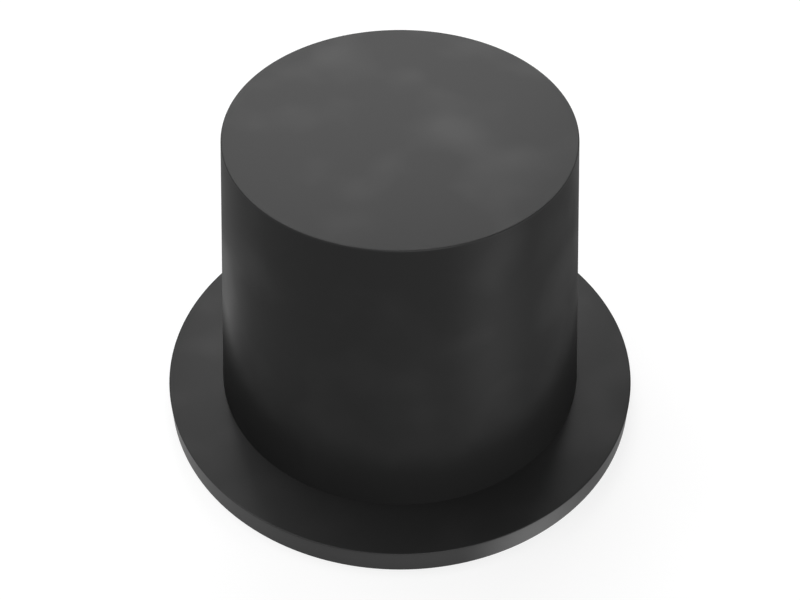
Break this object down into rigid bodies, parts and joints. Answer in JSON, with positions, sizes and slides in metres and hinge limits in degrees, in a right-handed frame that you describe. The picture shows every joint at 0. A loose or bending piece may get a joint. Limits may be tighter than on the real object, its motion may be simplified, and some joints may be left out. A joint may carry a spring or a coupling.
{
  "type": "protective plug",
  "caption": "Hollow tapered plug, closed at its tip, with a wide thin flange at its open end. Pushed into a round port or cable entry, it keeps dust and dirt out.",
  "frame": {"origin": "centre of the flange's underside, the face that the plug stands on", "axes": "+Z along the plug's axis, from the flange towards the closed tip"},
  "size_m": [0.019, 0.019, 0.013],
  "materials": {
    "black_polyethylene": "satin moulded surface, black"
  },
  "bodies": {
    "root": {"protective_plug": "black_polyethylene"}
  },
  "joints": []
}
